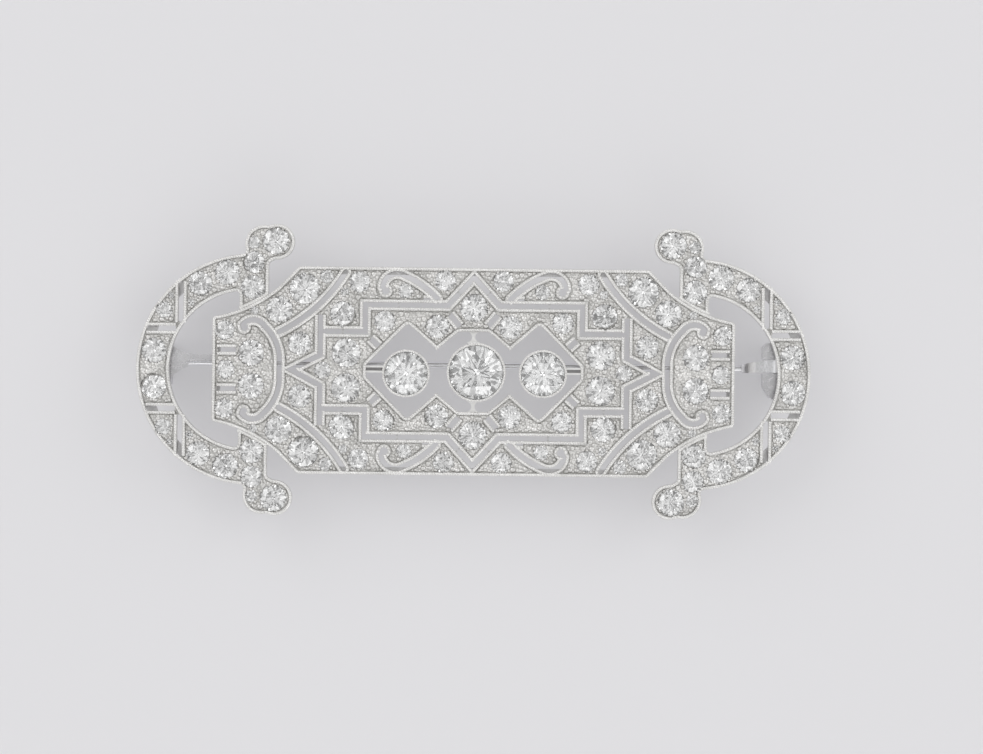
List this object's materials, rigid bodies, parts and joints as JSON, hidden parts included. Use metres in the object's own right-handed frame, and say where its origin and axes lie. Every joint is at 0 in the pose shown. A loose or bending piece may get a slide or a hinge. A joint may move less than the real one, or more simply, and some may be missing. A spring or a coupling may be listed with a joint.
{
  "type": "brooch",
  "caption": "Openwork Art Deco plaque brooch with horseshoe loops at both ends, pave-set round diamonds, three collet-set centre stones, a hinged pin and a roll-over safety catch.",
  "frame": {"origin": "centre of the footprint, on the surface that the hinge and catch rest on", "axes": "+X towards the hinge end, +Y towards the edge beside the pin, +Z out of the jewelled face"},
  "size_m": [0.0572, 0.0246, 0.0064],
  "materials": {
    "platinum": "bright polished platinum with millegrain edges",
    "gallery_metal": "polished platinum, seen in shade",
    "pin_metal": "drawn white gold, softly polished",
    "diamond": "faceted, clear"
  },
  "bodies": {
    "brooch": {"catch_bracket": "pin_metal", "collet_centre": "platinum", "collet_left": "platinum", "collet_right": "platinum", "diamond_centre": "diamond", "diamond_left": "diamond", "diamond_right": "diamond", "diamonds_cells_left": "diamond", "diamonds_cells_right": "diamond", "diamonds_end_left": "diamond", "diamonds_end_right": "diamond", "diamonds_frame": "diamond", "diamonds_loop_left": "diamond", "diamonds_loop_right": "diamond", "diamonds_lozenges": "diamond", "diamonds_scrolls": "diamond", "diamonds_shoulder_left": "diamond", "diamonds_shoulder_right": "diamond", "frame_bridges": "platinum", "gallery_loop_left": "gallery_metal", "gallery_loop_right": "gallery_metal", "gallery_panel": "gallery_metal", "gallery_posts": "gallery_metal", "hinge_bracket": "pin_metal", "hinge_rivet": "pin_metal", "inner_frame": "platinum", "loop_left": "platinum", "loop_right": "platinum", "loop_tabs": "gallery_metal", "panel": "platinum", "strut_bottom": "platinum", "strut_left": "platinum", "strut_right": "platinum", "strut_top": "platinum"},
    "pin": {"pin_stem": "pin_metal", "pin_tongue": "pin_metal"},
    "catch": {"catch_rotor": "pin_metal"}
  },
  "joints": [
    {"name": "pin_hinge", "type": "hinge", "parent": "brooch", "child": "pin", "pos_m": [0.0259, 0.00055, 0.0013], "axis": [0, -1, 0], "range_deg": [0, 95]},
    {"name": "catch_swivel", "type": "hinge", "parent": "brooch", "child": "catch", "pos_m": [-0.02685, 0.00055, 0.0013], "axis": [-1, 0, 0], "range_deg": [0, 160]}
  ]
}
